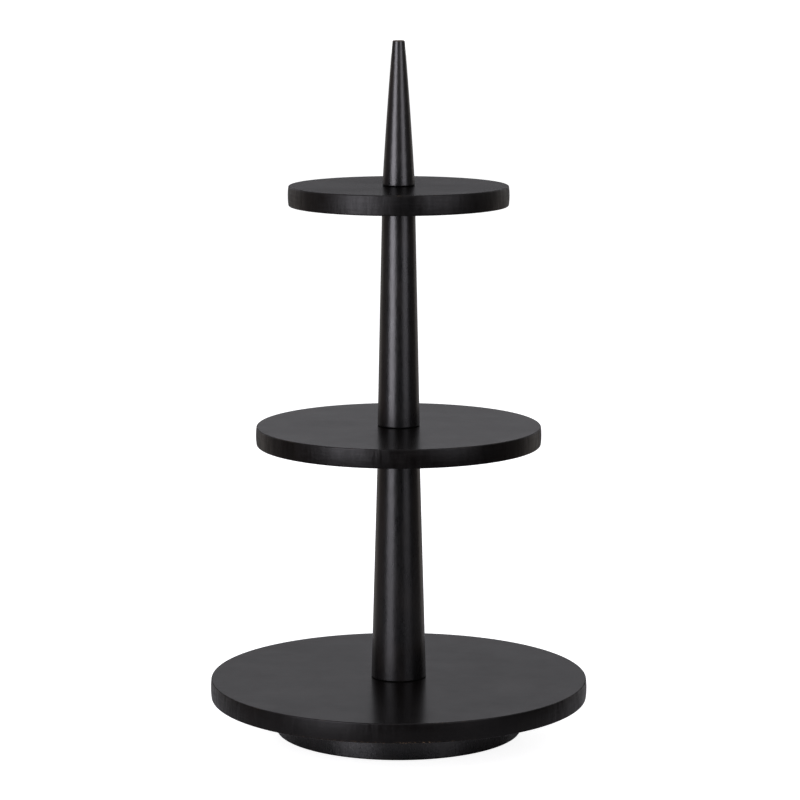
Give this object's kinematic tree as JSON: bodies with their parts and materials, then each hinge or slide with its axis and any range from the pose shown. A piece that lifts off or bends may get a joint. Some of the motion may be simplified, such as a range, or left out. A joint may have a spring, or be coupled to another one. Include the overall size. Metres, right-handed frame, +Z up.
{
  "type": "tiered stand",
  "caption": "Free-standing serving stand: round black wooden shelves, smaller towards the top, on a tapering turned post that ends in a plain spire, over a round foot.",
  "frame": {"origin": "centre of the standing surface, under the felt pads", "axes": "+Z up along the post; the stand is round, so X and Y are free and run through the felt pads"},
  "size_m": [0.402, 0.402, 0.7365],
  "materials": {
    "black_lacquer": "satin black lacquer over close-grained hardwood",
    "zinc_steel": "zinc-plated steel",
    "insert_brass": "plain machined brass",
    "grey_felt": "pressed dark grey felt"
  },
  "bodies": {
    "root": {"foot_plinth": "black_lacquer", "base_tier": "black_lacquer", "lower_post": "black_lacquer", "middle_tier": "black_lacquer", "middle_post": "black_lacquer", "top_tier": "black_lacquer", "spire": "black_lacquer", "base_bolt": "zinc_steel", "base_washer": "zinc_steel", "lower_stud": "zinc_steel", "upper_stud": "zinc_steel", "foot_screw_1": "zinc_steel", "foot_screw_2": "zinc_steel", "foot_screw_3": "zinc_steel", "foot_screw_4": "zinc_steel", "lower_post_insert": "insert_brass", "middle_post_insert": "insert_brass", "spire_insert": "insert_brass", "felt_pad_1": "grey_felt", "felt_pad_2": "grey_felt", "felt_pad_3": "grey_felt", "felt_pad_4": "grey_felt"}
  },
  "joints": []
}
